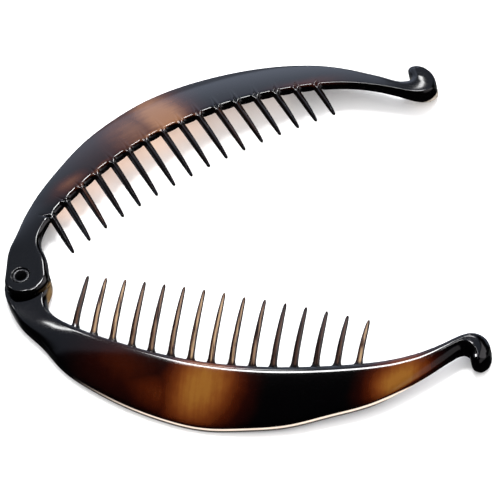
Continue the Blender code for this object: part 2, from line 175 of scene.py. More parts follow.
def arm_plan(stations, comb, grown):
    """Plan of an arm as matched lines from edge to spine, once round its outline: along the outer edge to
    the hook, back along the inner edge with a fillet, two sides and a round end for each tooth, and round
    the lap. A line has its edge point, its spine point, its place along the arm and down a tooth, how much
    of it is tooth, and the tooth's number. Without grown teeth the inner edge runs on past their places."""
    last = len(stations) - 1
    ring = np.concatenate([stations[:, 2:4], stations[::-1, 0:2], stations[:1, 2:4]])
    knots = np.concatenate([[0.0], np.cumsum(np.linalg.norm(np.diff(ring, axis=0), axis=1))])
    outline = smooth_curve(knots, ring, True)
    rows = np.arange(last + 1)

    def outer(s):
        return outline(np.interp(s, rows, knots[: last + 1]))

    def inner(s):
        return outline(np.interp(s, rows, knots[last + 1 : 2 * last + 2][::-1]))

    middle = (stations[:, 0:2] + stations[:, 2:4]) / 2
    middle[spine_from] = 0.0
    core = middle[spine_from : spine_to + 1]
    spine = smooth_curve(np.arange(float(spine_from), spine_to + 1.0), core, False)

    def mid(s):
        return spine(np.clip(s, spine_from, spine_to))

    # Feet of the teeth, as places along the stations
    fine = np.linspace(comb_from, comb_to, 4000)
    fine_x = inner(fine)[:, 0]
    wall_y = inner(fine)[:, 1]
    count = comb["count"]
    tips = comb["first"] + comb["pitch"] * np.arange(count)
    roots = tips + comb["lean"]
    fillet = 1.15
    half_root = tooth_half(0.0)
    foot = np.interp(roots, fine_x, fine)
    left = np.interp(roots - half_root - fillet, fine_x, fine)
    right = np.interp(roots + half_root + fillet, fine_x, fine)
    wall = np.interp(roots, fine_x, wall_y)
    length = wall - tip_line(tips) + np.interp(np.arange(count), *comb["longer"])

    lines = []

    def put(edge, core_point, s, down=no_tooth, blend=0.0, tooth=0.0):
        full = np.empty((len(edge), 8))
        full[:, 0:2] = edge
        full[:, 2:4] = core_point
        full[:, 4] = s
        full[:, 5] = down
        full[:, 6] = blend
        full[:, 7] = tooth
        lines.append(full)

    # Places along the stations: few between two teeth, more round the lap, and close together on the hook
    places = [0.0]
    for i in range(count):
        gap_steps = 5 if i else 34
        places += list(np.linspace(places[-1], left[i], gap_steps + 1)[1:])
        places += list(np.linspace(left[i], foot[i], 4)[1:])
        places += list(np.linspace(foot[i], right[i], 4)[1:])
    places += list(np.linspace(places[-1], shaft_from, 14)[1:])
    places += list(np.linspace(shaft_from, last, 100)[1:])
    places = np.array(places)

    put(outer(places), mid(places), places)
    back = places[::-1]
    after = back[back > right[-1]] if grown else back
    put(inner(after), mid(after), after)
    for i in range(count - 1 if grown else -1, -1, -1):
        span = length[i]
        tip_round = 1.0
        end = span - tip_round

        def centre(q):
            return np.stack([roots[i] - comb["lean"] * q / span, wall[i] - q], -1)

        def half(q):
            return tooth_half(q / span)

        top_of_branch = mid(foot[i : i + 1])[0]
        for side in (1, -1):
            start = right[i] if side > 0 else left[i]
            edge_a = inner(np.array([start]))[0]
            edge_b = centre(np.array([fillet]))[0] + [side * half(fillet), 0.0]
            near = inner(np.array([start - side * 0.02]))[0] - edge_a
            corner = edge_a + near * abs((edge_b[0] - edge_a[0]) / near[0])
            t = np.linspace(0.0, 1.0, 10)[:, None]
            arc = (1 - t) ** 2 * edge_a + 2 * t * (1 - t) * corner + t * t * edge_b
            along = np.linspace(start, foot[i], 4)
            stem = np.linspace(0.0, 1.0, 7)[1:, None]
            neck = top_of_branch * (1 - stem) + centre(np.array([fillet])) * stem
            cores = np.concatenate([mid(along), neck])
            down = np.concatenate([np.full(4, no_tooth), wall[i] - neck[:, 1]])
            q = np.linspace(fillet, end, 15)[1:]
            flank = centre(q) + np.stack([side * half(q), 0 * q], -1)
            edge = np.concatenate([arc, flank])
            core_all = np.concatenate([cores, centre(q)])
            s_all = np.concatenate([along, np.full(len(neck) + len(q), foot[i])])
            down_all = np.concatenate([down, q])
            blend = np.concatenate([ease(t[:, 0], 0.0, 1.0), np.ones(len(q))])
            order = slice(None) if side > 0 else slice(None, None, -1)
            put(edge[order], core_all[order], s_all[order], down_all[order], blend[order], i + 1.0)
            if side > 0:
                a = np.linspace(0.0, math.pi, 9)[1:-1]
                round_end = centre(np.array([end]))[0] + np.stack(
                    [half(end) * np.cos(a), -tip_round * np.sin(a)], -1
                )
                put(round_end, np.repeat(centre(np.array([end])), 7, 0), foot[i], end, 1.0, i + 1.0)
        low = right[i - 1] if i else -1.0
        keep = (back < left[i] - 1e-9) & (back > low + 1e-9)
        put(inner(back[keep]), mid(back[keep]), back[keep])
    return np.concatenate(lines), dict(roots=roots, wall=wall, length=length)


def arm_skin(stations, comb, level, mirrored, rolled, grown, root_to=None):
    """Skin over the lines of a plan. Height over a line is the head curve, less the crown, less a rounding
    at the edge; below it lie the wall, a smaller quarter ellipse and the underside, one thickness down. The
    rounding is a quarter ellipse on the outer edge, a rolled bevel on the inner one and a steep ridge along
    the teeth. Rolled holds the bevel's width at the root and beyond it, its fall, and the share of it left
    on the hook's shaft. Where root_to is given, the root is thickened down to that height."""
    lines, teeth = arm_plan(stations, comb, grown)
    edge, core = lines[:, 0:2], lines[:, 2:4]
    s, down, blend, tooth = lines[:, 4], lines[:, 5], lines[:, 6], lines[:, 7]
    rows = np.arange(len(stations))
    thick = np.interp(s, rows, stations[:, 4])
    drop = np.interp(s, rows, stations[:, 5])
    centre = (stations[:, 0:2] + stations[:, 2:4]) / 2
    across = np.linalg.norm(stations[:, 0:2] - stations[:, 2:4], axis=1)
    width = np.interp(s, rows, across)
    from_hinge = np.interp(s, rows, np.hypot(centre[:, 0], centre[:, 1]))
    if root_to is not None:
        here = head_curve(np.interp(s, rows, centre[:, 0]), np.interp(s, rows, centre[:, 1]), level)
        thick += (here - root_to - drop - thick) * (1 - ease(from_hinge, 11.0, 27.0))
    away = ease(from_hinge, 10.0, 26.0)
    count = len(s)
    outer_side = np.arange(count) < np.argmax(s == len(stations) - 1.0) + 1

    # Edge roundings: small on the outer edge, wide on the inner one, meeting at the hook and round the lap
    wide = np.where(outer_side, 0.0, 1.0)
    for meeting, reach in ((0.0, 4.0), (len(stations) - 1.0, 3.0)):
        near = np.clip(1 - np.abs(s - meeting) / reach, 0.0, 1.0) * 0.5
        wide = np.where(outer_side, wide + near, wide - near)
    slim = (1 - ease(width, 5.5, 12.5)) * away
    span = np.linalg.norm(core - edge, axis=1)
    roll_root, roll, roll_fall, roll_hook = rolled
    roll = roll_root + (roll - roll_root) * ease(from_hinge, 40.0, 95.0)
    shaft = 1 - (1 - roll_hook) * slim * ease(from_hinge, 95.0, 118.0)
    widest = 0.42 * width + 2.0 * ease(s, 27.0, 30.0)
    inset = (0.9 + 1.9 * slim) * (1 - wide) + np.minimum(roll * shaft, widest) * wide
    inner_wall = thick - 0.8 * ease(width, 5.0, 12.0) * away
    crown = 0.02 * width * away
    fall_in = np.minimum((roll_fall + 0.6 * slim) * shaft, inner_wall - 0.75 - 1.1 * slim - crown)
    fall = (0.9 + 1.5 * slim) * (1 - wide) + fall_in * wide
    deep = np.where(outer_side, thick, inner_wall)
    deep_core = inner_wall + 0.72 * (thick - inner_wall)
    low_in = 0.5 + 1.3 * slim
    low_up = 0.5 + 1.1 * slim

    # Teeth: flush with the band, then a little below it, oval in section and sagging towards the tip
    q = np.clip(down, 0.0, None)
    owner = np.clip(tooth.astype(int) - 1, 0, None)
    share = q / teeth["length"][owner]
    sag = np.interp(owner, [0, comb["count"] - 1], comb["sag"])
    below = (0.45 + sag * share**2) * ease(down, -2.6, 0.8) * (tooth > 0)
    half = tooth_half(share)
    tooth_thick = tooth_depth(share)
    inset = inset * (1 - blend) + 0.97 * half * blend
    fall = fall * (1 - blend) + 0.60 * tooth_thick * blend
    low_in = low_in * (1 - blend) + 0.6 * half * blend
    low_up = low_up * (1 - blend) + 0.36 * tooth_thick * blend
    deep = deep * (1 - blend) + tooth_thick * blend
    on_stem = ease(down, -3.0, 0.8)
    deep_core = deep_core * (1 - on_stem) + tooth_thick * on_stem
    below_edge = below * blend
    from_mid = np.clip(1 + down / np.maximum(width / 2, 1e-6), 0.0, 1.0) * (tooth > 0)
    crown_core = crown * np.where(down > no_tooth, from_mid**2, 0.0)
    inset = np.minimum(inset, 0.97 * span)
    low_in = np.minimum(low_in, 0.90 * span)

    # Lines as grids: rounding, face and spine above, then the same below
    shares, tilts = [0.0, 0.15, 0.36, 0.72, 1.0], [5.0, 12.0, 32.0, 50.0, 90.0]
    tilt = np.radians(np.interp(np.linspace(0.0, 1.0, 121), shares, tilts))
    run = np.concatenate([[0.0], np.cumsum(np.cos((tilt[1:] + tilt[:-1]) / 2))])
    sink = np.concatenate([[0.0], np.cumsum(np.sin((tilt[1:] + tilt[:-1]) / 2))])
    pick = np.linspace(0, 120, 13).astype(int)[::-1]
    arc = np.linspace(0.0, math.pi / 2, 13)
    flat = np.linspace(0.0, 1.0, 7)[1:]
    on_roll = (wide * (1 - blend))[:, None]
    on_ridge = (0.65 * blend)[:, None]
    arc_in, arc_fall = 1 - np.cos(arc), 1 - np.sin(arc)
    round_in = arc_in * (1 - on_roll) + (1 - run[pick] / run[-1]) * on_roll
    round_fall = arc_fall * (1 - on_roll - on_ridge) + sink[pick] / sink[-1] * on_roll
    round_fall = round_fall + (1 - arc_in) * on_ridge
    ends = np.ones((count, 6))
    top_in = np.concatenate([round_in, ends], 1)
    top_flat = np.concatenate([np.zeros(13), flat])
    top_fall = np.concatenate([round_fall, 0 * ends], 1)
    arc_low = np.linspace(0.0, math.pi / 2, 6)
    flat_low = np.linspace(0.0, 1.0, 5)[1:]
    low_step = np.concatenate([1 - np.cos(arc_low), np.ones(4)])
    low_flat = np.concatenate([np.zeros(6), flat_low])
    low_lift = np.concatenate([1 - np.sin(arc_low), np.zeros(4)])

    def surface(steps, flats, lift, reach, height, under):
        far = reach[:, None] * steps
        far = far + (span - reach)[:, None] * flats
        part = (far / span[:, None])[..., None]
        plan = edge[:, None] * (1 - part) + core[:, None] * part
        p = part[..., 0]
        z = head_curve(plan[..., 0], plan[..., 1], level) - drop[:, None]
        z = z - (crown_core[:, None] + (crown - crown_core)[:, None] * (1 - p) ** 2)
        z = z - (below_edge[:, None] * (1 - p) + below[:, None] * p)
        if under:
            z = z - (deep[:, None] * (1 - p) + deep_core[:, None] * p) + height[:, None] * lift
        else:
            z = z - height[:, None] * lift
        return np.concatenate([plan, z[..., None]], -1)

    top = surface(top_in, top_flat, top_fall, inset, fall, False)
    bottom = surface(low_step, low_flat, low_lift, low_in, low_up, True)
    grid = np.concatenate([top[:, ::-1], bottom], 1)
    if mirrored:
        grid[..., 1] *= -1
    return grid, teeth


def meshed(name, place, quads, merge, slivers=True):
    """Object made of points and quads. Points closer than the merging distance become one, and faces
    without area are taken out unless slivers may stay."""
    mesh = bpy.data.meshes.new(name)
    mesh.from_pydata(place.reshape(-1, 3).tolist(), [], quads.reshape(-1, 4).tolist())
    bm = bmesh.new()
    bm.from_mesh(mesh)
    bmesh.ops.remove_doubles(bm, verts=bm.verts, dist=merge)
    if not slivers:
        bmesh.ops.dissolve_degenerate(bm, dist=1e-8, edges=bm.edges)
    bmesh.ops.recalc_face_normals(bm, faces=bm.faces)
    bm.to_mesh(mesh)
    bm.free()
    piece = bpy.data.objects.new(name, mesh)
    bpy.context.scene.collection.objects.link(piece)
    return piece


def skinned(name, grid, turn, flip):
    """Skin of a grid closed round its first direction, with the points that meet on the spine merged."""
    u, v = grid.shape[:2]
    place = laid_down(grid[..., 0], grid[..., 1], grid[..., 2], turn)
    i = np.arange(u)[:, None]
    j = np.arange(v - 1)[None]
    n = (i + 1) % u
    quads = np.stack(np.broadcast_arrays(i * v + j, n * v + j, n * v + j + 1, i * v + j + 1), -1)
    if flip:
        quads = quads[..., ::-1]
    return meshed(name, place, quads, merge=2e-6)


def turned(name, profile, steps=128):
    """Closed solid turned about the hinge axis: the (radius, height) profile repeated at equal angles."""
    profile = np.array(profile, float)
    angle = np.linspace(0.0, math.tau, steps, endpoint=False)[:, None]
    x = profile[:, 0] * np.cos(angle)
    y = profile[:, 0] * np.sin(angle)
    z = np.broadcast_to(profile[:, 1], x.shape)
    k = len(profile)
    i = np.arange(steps)[:, None]
    j = np.arange(k)[None]
    a, b = (i + 1) % steps, (j + 1) % k
    quads = np.stack(np.broadcast_arrays(i * k + j, a * k + j, a * k + b, i * k + b), -1)
    return meshed(name, laid_down(x, y, z), quads, merge=1e-7, slivers=False)


def cut(piece, cutters, joined=()):
    """Adds the joined solids to the piece and takes the cutters out of it, by exact booleans."""
    for other in (*joined, *cutters):
        step = piece.modifiers.new("cut", "BOOLEAN")
        step.operation = "UNION" if other in joined else "DIFFERENCE"
        step.solver = "EXACT"
        step.object = other
    done = piece.evaluated_get(bpy.context.evaluated_depsgraph_get())
    mesh = bpy.data.meshes.new_from_object(done)
    piece.modifiers.clear()
    piece.data = mesh
    mesh.name = piece.name
    for other in (*joined, *cutters):
        bpy.data.objects.remove(other)
    mesh.shade_smooth()
    mesh.set_sharp_from_angle(angle=math.radians(40))
    return piece


def nodes_of(name):
    """A new material with its node tree emptied down to the output."""
    material = bpy.data.materials.new(name)
    material.use_nodes = True
    tree = material.node_tree
    tree.nodes.clear()
    out = tree.nodes.new("ShaderNodeOutputMaterial")
    return material, tree, out


def add(tree, kind, inputs=(), **settings):
    """Adds a node, sets its settings, and gives each input a number, a colour or another node's socket."""
    made = tree.nodes.new("ShaderNode" + kind)
    for key, value in settings.items():
        setattr(made, key, value)
    for key, value in dict(inputs).items():
        if isinstance(value, bpy.types.NodeSocket):
            tree.links.new(value, made.inputs[key])
        else:
            made.inputs[key].default_value = value
    return made


def sums(tree, operation, first, second=0.0, third=0.0):
    """One step of arithmetic on two or three values."""
    made = add(tree, "Math", {0: first, 1: second, 2: third}, operation=operation)
    return made.outputs[0]


def step(tree, value, low, high, start=0.0, end=1.0):
    """Smooth step of a value from start to end as it passes from low to high."""
    made = add(
        tree, "MapRange", {0: value, 1: low, 2: high, 3: start, 4: end}, interpolation_type="SMOOTHSTEP"
    )
    return made.outputs[0]


def ramp(tree, value, stops):
    """Colour ramp through (place, (r, g, b)) stops."""
    made = add(tree, "ValToRGB", {0: value})
    band = made.color_ramp
    while len(band.elements) < len(stops):
        band.elements.new(0.5)
    for element, (place, colour) in zip(band.elements, stops):
        element.position = place
        element.color = (*colour, 1.0)
    return made.outputs[0]


def mixed(tree, share, colour, other):
    """One colour that gives way to another as the share goes from 0 to 1."""
    return add(tree, "Mix", {0: share, 6: colour, 7: other}, data_type="RGBA").outputs[2]


# Half height of a cloud that goes right through the plastic; the shallower ones are painted light coming
# through it, in its clear colour
through = 99.0


def tortoiseshell(name, turn, side, clouds, wall, veins, clear, stops, tooth_stops):
    """Dark plastic with soft amber clouds. A cloud is one less the distance from its centre, in lengths of
    its own turned ellipse, eased. The strongest cloud at a point, streaked and roughened by noise, picks
    the colour from black to amber, faded out on the walls below the face as painted shade, and shallow
    clouds turn to the clear colour as painted light coming through the plastic. A tooth has its own tone,
    with painted shade down one side and at its edges, and fine lengthwise streaks, and the lower edge of
    the wall has a painted line of light, partly glowing, over a painted strip of shade."""
    material, tree, out = nodes_of(name)
    coords = add(tree, "TexCoord")
    axis_tip = math.atan2(hinge_axis[0], hinge_axis[2])
    pose = Matrix.Rotation(axis_tip, 3, "Y") @ Matrix.Rotation(turn, 3, "Z")
    plan = add(
        tree, "Mapping",
        {"Vector": coords.outputs["Object"], "Location": tuple(hinge_at), "Rotation": pose.to_euler(),
         "Scale": (0.001, 0.001 * side, 0.001)},
        vector_type="TEXTURE",
    ).outputs[0]
    swirl = add(tree, "TexNoise", {"Vector": plan, "Scale": 0.055, "Detail": 3.0, "Roughness": 0.55})
    push = add(tree, "VectorMath", {0: swirl.outputs["Color"], 1: (-0.5, -0.5, -0.5)}, operation="ADD")
    moved = add(
        tree, "VectorMath", {0: push.outputs[0], 1: (7.0, 7.0, 0.0), 2: plan}, operation="MULTIPLY_ADD"
    ).outputs[0]
    amount = painted_glow_amount = 0.0
    for x, y, z, long, wide, tall, lean, soft, strength in clouds:
        place = add(
            tree, "Mapping",
            {"Vector": moved, "Location": (x, y, z), "Rotation": (0.0, 0.0, math.radians(lean)),
             "Scale": (long, wide, tall)},
            vector_type="TEXTURE",
        )
        cloud = add(tree, "TexGradient", {"Vector": place.outputs[0]}, gradient_type="SPHERICAL")
        here = step(tree, cloud.outputs[1], 0.0, soft, 0.0, strength)
        if tall < through:
            painted_glow_amount = sums(tree, "MAXIMUM", painted_glow_amount, here)
        else:
            amount = sums(tree, "MAXIMUM", amount, here)
    # Painted shade: the amber clouds fade out on the walls below the face, which leaves the walls dark.
    under = add(tree, "Attribute", attribute_name="under_face")
    wall_painted_shade = step(tree, under.outputs["Fac"], wall[0], wall[1], 1.0, wall[2])
    amount = sums(tree, "MULTIPLY", amount, wall_painted_shade)
    lean, along, over, depth = veins
    drawn = add(
        tree, "Mapping", {"Vector": plan, "Rotation": (0.0, 0.0, lean), "Scale": (along, over, 0.1)}
    ).outputs[0]
    lines = add(tree, "TexNoise", {"Vector": drawn, "Scale": 1.0, "Detail": 4.0, "Roughness": 0.6})
    streak = step(tree, lines.outputs[0], 0.3, 0.7, 1.0 - depth, 1.0 + 0.6 * depth)
    amount = sums(tree, "MULTIPLY", amount, streak)
    grain = add(tree, "TexNoise", {"Vector": plan, "Scale": 0.55, "Detail": 6.0, "Roughness": 0.6})
    speckle = sums(tree, "MULTIPLY_ADD", grain.outputs[0], 0.16, -0.08)
    amount = sums(tree, "MULTIPLY_ADD", speckle, amount, amount)
    colour = ramp(tree, amount, stops)
    # Painted light: where a shallow cloud lies, the colour turns to the clear colour of light coming
    # through the plastic.
    colour = mixed(tree, painted_glow_amount, colour, (*clear, 1.0))

    tooth = add(tree, "Attribute", attribute_name="tooth_tone")
    is_tooth = add(tree, "Attribute", attribute_name="tooth_share")
    sideways = add(tree, "Attribute", attribute_name="tooth_side")
    drawn = add(tree, "Mapping", {"Vector": plan, "Scale": (2.4, 0.09, 0.2)}).outputs[0]
    hair = add(tree, "TexNoise", {"Vector": drawn, "Scale": 1.0, "Detail": 3.0, "Roughness": 0.65})
    streak = step(tree, hair.outputs[0], 0.38, 0.54, 0.15, 1.0)
    tone = sums(tree, "MULTIPLY", tooth.outputs["Fac"], streak)
    # Painted shade: each tooth is darker down one side and darkened nearly to black at its edges, so that
    # its middle reads as lit through.
    painted_side_shade = step(tree, sideways.outputs["Fac"], -0.2, 0.15, 0.40, 1.15)
    tone = sums(tree, "MULTIPLY", tone, painted_side_shade)
    off = sums(tree, "ABSOLUTE", sideways.outputs["Fac"])
    tone = sums(tree, "MULTIPLY", tone, step(tree, off, 0.42, 0.72, 1.0, 0.03))
    tooth_colour = ramp(tree, tone, tooth_stops)
    colour = mixed(tree, is_tooth.outputs["Fac"], colour, tooth_colour)

    # The lower edge: a painted cream line of light, with a little emission, over a painted grey strip of
    # shade
    rim = add(tree, "Attribute", attribute_name="low_rim").outputs["Fac"]
    lit = add(tree, "Attribute", attribute_name="rim_light").outputs["Fac"]
    above_painted_edge_shade = step(tree, rim, 0.55, 0.66, 1.0, 0.0)
    painted_edge_light = sums(tree, "MULTIPLY", step(tree, rim, 0.18, 0.30), above_painted_edge_shade)
    painted_edge_light = sums(tree, "MULTIPLY", painted_edge_light, lit)
    painted_edge_shade = sums(tree, "MULTIPLY", step(tree, rim, 0.55, 0.66), lit)
    colour = mixed(tree, painted_edge_shade, colour, (0.09, 0.08, 0.073, 1.0))
    colour = mixed(tree, painted_edge_light, colour, (0.56, 0.46, 0.37, 1.0))
    glow = sums(tree, "MULTIPLY", painted_edge_light, 0.45)
    fine = add(tree, "TexNoise", {"Vector": plan, "Scale": 2.6, "Detail": 4.0})
    gloss = step(tree, fine.outputs[0], 0.3, 0.75, 0.07, 0.13)
    ripple = add(tree, "TexNoise", {"Vector": plan, "Scale": 0.22, "Detail": 2.0})
    height = sums(tree, "MULTIPLY_ADD", fine.outputs[0], 0.03, ripple.outputs[0])
    bump = add(tree, "Bump", {"Height": height, "Strength": 0.12, "Distance": 0.00008})
    plastic = add(
        tree, "BsdfPrincipled",
        {"Base Color": colour, "Roughness": gloss, "IOR": 1.5, "Normal": bump.outputs[0],
         "Emission Color": (1.0, 0.84, 0.72, 1.0), "Emission Strength": glow},
    )
    tree.links.new(plastic.outputs[0], out.inputs[0])
    return material


def marks(piece, turn, side, level, stations, comb, teeth, tones):
    """Writes six values at each point: how much of it is tooth; the tooth's tone, less towards its tip; how
    far it lies to one side of the tooth, in half widths; how many millimetres it lies under the head curve;
    how much of it is the lower edge of the outer wall, from its depth under the face beside the arm's
    thickness there; and how strongly painted light and shade lie on that edge, less towards both ends of
    the arm."""
    count = len(piece.data.vertices)
    place = np.empty(count * 3)
    piece.data.vertices.foreach_get("co", place)
    place = (place.reshape(-1, 3) - hinge_at) * 1000.0
    along = place[:, 0] * hinge_axis[2] - place[:, 2] * hinge_axis[0]
    up = place[:, 0] * hinge_axis[0] + place[:, 2] * hinge_axis[2]
    x = along * math.cos(turn) + place[:, 1] * math.sin(turn)
    y = (place[:, 1] * math.cos(turn) - along * math.sin(turn)) * side
    last_tooth = comb["count"] - 1
    own = np.round((x - comb["first"] - comb["lean"] / 2) / comb["pitch"]).astype(int)
    own = np.clip(own, 0, last_tooth)
    for _ in range(2):
        q = teeth["wall"][own] - y
        part = np.clip(q / teeth["length"][own], 0.0, 1.0)
        centre = teeth["roots"][own] - comb["lean"] * part
        own = np.clip(own + np.round((x - centre) / comb["pitch"]).astype(int), 0, last_tooth)
    across = (x - centre) / tooth_half(part)
    share = ease(q, -0.2, 1.0) * (np.abs(across) < 2.5)
    tone = np.array(tones)[own] * (1 - 0.6 * ease(part, 0.80, 1.0))
    beyond_lap = stations[7:]
    middle = (beyond_lap[:, 0:2] + beyond_lap[:, 2:4]) / 2
    thick = np.interp(x, middle[:, 0], beyond_lap[:, 4] + beyond_lap[:, 5])
    under = head_curve(x, y, level) - up
    outer = ease(y - np.interp(x, middle[:, 0], middle[:, 1]), 0.5, 2.0)
    rim = np.clip(1.0 + (under - thick) / 1.3, 0.0, 1.0) * outer
    lit = ease(x, 20.0, 48.0) * (1 - ease(x, 124.0, 134.0))
    values_of = dict(
        tooth_share=share, tooth_tone=tone, tooth_side=across, under_face=under, low_rim=rim, rim_light=lit
    )
    for key, values in values_of.items():
        layer = piece.data.attributes.new(key, "FLOAT", "POINT")
        layer.data.foreach_set("value", values.astype(np.float32))


upper_grid, upper_teeth = arm_skin(
    upper_stations, upper_comb, upper_level, mirrored=False, rolled=(1.7, 1.25, 1.75, 0.45), grown=True
)
upper = skinned("upper_comb_arm", upper_grid, open_angle, flip=False)

# Bore and countersink of the lap, with a rounded lip, as (radius, height) points of the cutter
bore_radius, sink_radius, lip_round = 2.15, 2.9, 0.22
quarter = np.linspace(0.0, math.pi / 2, 6)
lip = [
    (sink_radius + lip_round * (1 - math.cos(a)), -lip_round + lip_round * math.sin(a)) for a in quarter
]
eye_foot = [(0.0, -4.0), (bore_radius, -4.0), (bore_radius, -1.2), (sink_radius, -1.2)]
cut(upper, [turned("eye", eye_foot + lip + [(3.12, 1.0), (0.0, 1.0)])])
upper_tones = [0.15, 0.15, 0.75, 0.25, 0.2, 0.2, 0.2, 0.3, 0.3, 0.3, 0.6, 0.6, 0.2, 0.15, 0.2, 0.2]
marks(upper, open_angle, 1.0, upper_level, upper_stations, upper_comb, upper_teeth, upper_tones)
upper_clouds = [
    # x, y, z, half length, half width, half height, turn, softness, strength
    (28.0, 25.5, 0.0, 14.0, 6.5, through, 18.0, 1.0, 0.70),
    (36.0, 23.8, 0.0, 16.0, 2.6, through, 19.0, 0.8, 0.62),
    (64.5, 35.0, 0.0, 16.0, 40.0, through, 8.0, 1.0, 1.10),
    (54.0, 33.0, 0.0, 20.0, 30.0, through, 6.0, 1.0, 0.74),
    (44.0, 32.0, 0.0, 22.0, 30.0, through, 0.0, 1.0, 0.26),
    (64.0, 29.0, 0.0, 20.0, 2.4, through, 0.0, 0.8, 1.0),
    (110.0, 25.5, 0.0, 18.0, 4.0, through, -18.0, 1.0, 0.42),
    # Painted light: a cream line of light through the underside of the hook.
    (140.5, 9.0, -18.6, 12.0, 11.0, 2.4, 0.0, 0.3, 1.0),
]
upper_colours = [
    (0.0, (0.000448, 0.000392, 0.000448)),
    (0.2, (0.00616, 0.001344, 0.000896)),
    (0.4, (0.0168, 0.003472, 0.001568)),
    (0.6, (0.0448, 0.014, 0.00588)),
    (0.8, (0.0952, 0.0392, 0.01848)),
    (1.0, (0.1596, 0.0728, 0.03304)),
]
upper_tooth_colours = [
    (0.0, (0.000784, 0.000616, 0.000616)),
    (0.5, (0.00896, 0.00392, 0.00252)),
    (1.0, (0.0504, 0.01904, 0.00952)),
]
upper.data.materials.clear()
upper.data.materials.append(
    tortoiseshell(
        "upper_tortoiseshell", open_angle, 1.0, upper_clouds,
        wall=(0.35, 0.9, 0.0), veins=(-0.5, 0.08, 0.45, 0.07), clear=(0.42, 0.37, 0.31),
        stops=upper_colours, tooth_stops=upper_tooth_colours,
    )
)
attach(upper, "upper_half")
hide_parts("upper_arm")

# Lower arm. The same moulding mirrored, with a thick root that the upper lap sits on: a round seat is cut
# into it, down to its own lap. Its comb has fifteen teeth, set about half a pitch over from the upper ones.
lower_stations = upper_stations.copy()
lower_stations[6:] = [
    # inner x, inner y, outer x, outer y, thickness, drop
    (9.3, 3.3, -5.2, 3.0, 5.0, 0.0),
    (8.9, 6.5, -3.8, 7.0, 5.0, 0.0),
    (9.9, 10.1, -1.2, 11.6, 5.0, 0.0),
    (12.6, 13.2, 2.4, 16.2, 5.0, 0.0),
    (17.5, 16.1, 9.0, 21.9, 4.6, 0.0),
    (23.5, 19.0, 16.4, 29.5, 4.0, 0.0),
    (31.0, 21.8, 26.2, 36.2, 3.6, 0.0),
    (41.0, 24.9, 38.9, 42.2, 3.6, 0.0),
    (52.0, 27.3, 51.3, 46.1, 3.6, 0.0),
    (63.0, 28.7, 63.0, 48.0, 3.6, 0.0),
    (75.0, 28.9, 75.5, 47.3, 3.6, 0.0),
    (87.0, 28.0, 88.4, 45.1, 3.6, 0.0),
    (98.0, 26.2, 100.9, 40.5, 3.6, 0.0),
    (108.0, 23.9, 112.0, 35.7, 3.6, -0.1),
    (117.5, 20.8, 121.9, 28.8, 3.8, -0.3),
    (125.0, 17.0, 129.1, 22.4, 4.2, -0.6),
    (130.0, 13.7, 132.8, 18.6, 4.5, -0.95),
    (134.2, 10.4, 135.8, 15.4, 5.0, -1.25),
    (137.6, 7.9, 137.5, 13.9, 5.7, -1.5),
    (140.9, 6.9, 138.5, 13.6, 6.3, -1.7),
    (143.8, 8.0, 139.2, 13.8, 6.7, -1.9),
    (145.4, 10.6, 139.7, 14.5, 6.8, -2.0),
    (145.6, 13.3, 139.9, 15.4, 6.8, -2.0),
    (145.0, 15.7, 140.2, 16.6, 6.6, -2.0),
    (143.8, 17.3, 140.9, 17.6, 6.2, -1.8),
    (142.7, 18.0, 142.0, 18.0, 6.0, -1.7),
]
lower_comb = dict(
    count=15, first=20.95, pitch=6.3, lean=-1.35, sag=(0.0, 0.9),
    longer=([0, 1, 7, 8, 9], [1.0, 0.2, 0.1, -0.3, 0.1]),
)
lower_level = -1.3


def tooth_solids(name, comb, teeth, level, turn):
    """Teeth of a mirrored arm as one mesh of closed solids. Each is a ridged oval swept from inside the
    band to the tip. With q the distance from the wall, its foot flares as exp(-q / 0.6), and its tip closes
    as a quarter ellipse. Its crest climbs from 1.3 to 0.45 mm under the head curve and sags with the square
    of its share."""
    n = comb["count"]
    foot_q = np.array([-1.3, -1.3, -0.6, 0.0, 0.2, 0.4, 0.65, 1.0, 1.4, 2.0, 2.8])
    tip_q = np.array([1.3, 1.1, 0.85, 0.6, 0.38, 0.2, 0.08, 0.02, 0.0])
    length = teeth["length"][:, None]
    run_from, run_short = 3.8, 1.6
    run = run_from + np.linspace(0.0, 1.0, 9)[None] * (length - run_short - run_from)
    q = np.concatenate([np.repeat(foot_q[None], n, 0), run, length - tip_q[None]], 1)
    share = np.clip(q / length, 0.0, 1.0)
    close = np.sqrt(1 - np.clip(1 - (length - q) / tip_q[0], 0.0, 1.0) ** 2)
    close[:, 0] = 0.0
    flare = 0.55 * np.exp(-np.clip(q, 0, None) / 0.6)
    half = (tooth_half(share) - 0.10 * (1 - share) + flare) * close
    sag = np.interp(np.arange(n), [0, n - 1], comb["sag"])[:, None]
    rise = 1 - ease(q, 0.0, 7.0)
    thick = tooth_depth(share) - 0.45 * rise
    x = teeth["roots"][:, None] - comb["lean"] * share
    y = teeth["wall"][:, None] - q
    middle = head_curve(x, y, level) - 0.45 - 0.85 * rise - sag * share**2 - thick / 2
    angle = np.linspace(0.0, math.tau, 24, endpoint=False)
    ridge = 0.55 * np.sin(angle) + 0.45 * (1 - np.abs(np.cos(angle)))
    lift = np.where(np.sin(angle) > 0, ridge, np.sin(angle))
    px = x[..., None] + half[..., None] * np.cos(angle)
    pz = middle[..., None] + (thick * close / 2)[..., None] * lift
    py = np.broadcast_to(-y[..., None], px.shape)
    place = laid_down(px, py, pz, turn)
    m, k = q.shape[1], len(angle)
    t = np.arange(n)[:, None, None] * (m * k)
    i = np.arange(m - 1)[None, :, None] * k
    j = np.arange(k)[None, None]
    r = (j + 1) % k
    quads = np.stack(np.broadcast_arrays(t + i + j, t + i + r, t + i + k + r, t + i + k + j), -1)
    return meshed(name, place, quads, merge=1e-6)


